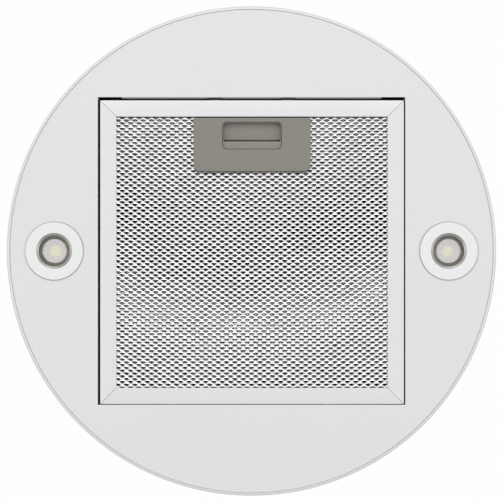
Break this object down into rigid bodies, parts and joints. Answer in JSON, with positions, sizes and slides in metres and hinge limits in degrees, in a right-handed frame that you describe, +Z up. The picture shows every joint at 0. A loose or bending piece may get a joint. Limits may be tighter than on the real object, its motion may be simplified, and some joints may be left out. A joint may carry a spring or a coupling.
{
  "type": "island range hood",
  "caption": "Round ceiling-hung island range hood: telescopic tube shell, square mesh grease filter on a sprung latch, downlights, push buttons and a blower inside.",
  "frame": {"origin": "middle of the underside, in the plane of the light bezels' faces", "axes": "+Z up towards the ceiling, -Y towards the user's side with the buttons and the filter handle, +X across the two lights"},
  "size_m": [0.3698, 0.3714, 0.88],
  "materials": {
    "white_paint": "satin white powder coat",
    "zinc_steel": "zinc plated",
    "motor_steel": "drawn steel",
    "dark_plastic": "moulded, matt",
    "circuit_board": "solder mask",
    "satin_aluminium": "satin extrusion",
    "bright_mesh": "bright expanded sheet",
    "taupe_plastic": "moulded, fine grain",
    "grey_plastic": "moulded, satin",
    "white_bezel": "satin white",
    "clear_lens": "frosted",
    "bright_reflector": "vacuum metallised",
    "led_phosphor": "phosphor on a white board"
  },
  "bodies": {
    "ceiling_mount": {"ceiling_plate": "zinc_steel", "upper_shell": "white_paint", "upper_post_front_left": "zinc_steel", "upper_post_front_right": "zinc_steel", "upper_post_rear_right": "zinc_steel", "upper_post_rear_left": "zinc_steel", "lock_bolt_front_left": "zinc_steel", "lock_bolt_front_right": "zinc_steel", "lock_bolt_rear_right": "zinc_steel", "lock_bolt_rear_left": "zinc_steel"},
    "hood": {"lower_shell": "white_paint", "bottom_plate": "white_paint", "chassis_bracket_front": "zinc_steel", "chassis_bracket_rear": "zinc_steel", "carrier_plate": "zinc_steel", "lower_post_front_left": "zinc_steel", "lower_post_front_right": "zinc_steel", "lower_post_rear_right": "zinc_steel", "lower_post_rear_left": "zinc_steel", "scroll_front": "dark_plastic", "scroll_rear": "dark_plastic", "motor_body": "motor_steel", "motor_spider": "zinc_steel", "duct_collar": "dark_plastic", "flap_pin": "zinc_steel", "electronics_cover": "dark_plastic", "control_electronics": "circuit_board", "cable_gland": "dark_plastic", "motor_capacitor": "zinc_steel", "control_strip": "satin_aluminium", "button_board": "circuit_board", "light_body_left": "white_bezel", "light_lens_left": "clear_lens", "light_reflector_left": "bright_reflector", "led_board_left": "led_phosphor", "light_spring_left": "zinc_steel", "light_body_right": "white_bezel", "light_lens_right": "clear_lens", "light_reflector_right": "bright_reflector", "led_board_right": "led_phosphor", "light_spring_right": "zinc_steel"},
    "fan": {"impeller": "dark_plastic", "motor_shaft": "zinc_steel"},
    "flap_left": {"flap_left": "dark_plastic"},
    "flap_right": {"flap_right": "dark_plastic"},
    "filter": {"filter_frame_front": "satin_aluminium", "filter_frame_right": "satin_aluminium", "filter_frame_rear": "satin_aluminium", "filter_frame_left": "satin_aluminium", "filter_mesh_front": "bright_mesh", "filter_mesh_pack": "bright_mesh", "handle_plate": "taupe_plastic", "latch_spring_left": "zinc_steel", "latch_spring_right": "zinc_steel"},
    "latch": {"latch_slider": "taupe_plastic"},
    "button_light": {"button_light": "grey_plastic"},
    "button_speed_down": {"button_speed_down": "grey_plastic"},
    "button_speed_up": {"button_speed_up": "grey_plastic"},
    "button_power": {"button_power": "grey_plastic"}
  },
  "joints": [
    {"name": "height_slide", "type": "slide", "parent": "ceiling_mount", "child": "hood", "axis": [0, 0, -1], "range_m": [-0.05, 0.14]},
    {"name": "fan_spin", "type": "hinge", "parent": "hood", "child": "fan", "pos_m": [-0.0661, 0, 0.18546], "axis": [0, 1, 0], "continuous": true},
    {"name": "flap_left_swing", "type": "hinge", "parent": "hood", "child": "flap_left", "pos_m": [0, 0, 0.3499], "axis": [0, 1, 0], "range_deg": [0, 80]},
    {"name": "flap_right_swing", "type": "hinge", "parent": "hood", "child": "flap_right", "pos_m": [0, 0, 0.3499], "axis": [0, -1, 0], "range_deg": [0, 80]},
    {"name": "filter_swing", "type": "hinge", "parent": "hood", "child": "filter", "pos_m": [0.0004, 0.1137, 0.0015], "axis": [1, 0, 0], "range_deg": [0, 85]},
    {"name": "latch_slide", "type": "slide", "parent": "filter", "child": "latch", "axis": [0, 1, 0], "range_m": [0, 0.0045], "stiffness_N_per_m": 600, "springref_m": -0.002, "deforming": ["latch_spring_left", "latch_spring_right"]},
    {"name": "button_light_press", "type": "slide", "parent": "hood", "child": "button_light", "axis": [0, 1, 0], "range_m": [0, 0.002], "stiffness_N_per_m": 500, "springref_m": -0.001},
    {"name": "button_speed_down_press", "type": "slide", "parent": "hood", "child": "button_speed_down", "axis": [0, 1, 0], "range_m": [0, 0.002], "stiffness_N_per_m": 500, "springref_m": -0.001},
    {"name": "button_speed_up_press", "type": "slide", "parent": "hood", "child": "button_speed_up", "axis": [0, 1, 0], "range_m": [0, 0.002], "stiffness_N_per_m": 500, "springref_m": -0.001},
    {"name": "button_power_press", "type": "slide", "parent": "hood", "child": "button_power", "axis": [0, 1, 0], "range_m": [0, 0.002], "stiffness_N_per_m": 500, "springref_m": -0.001}
  ]
}
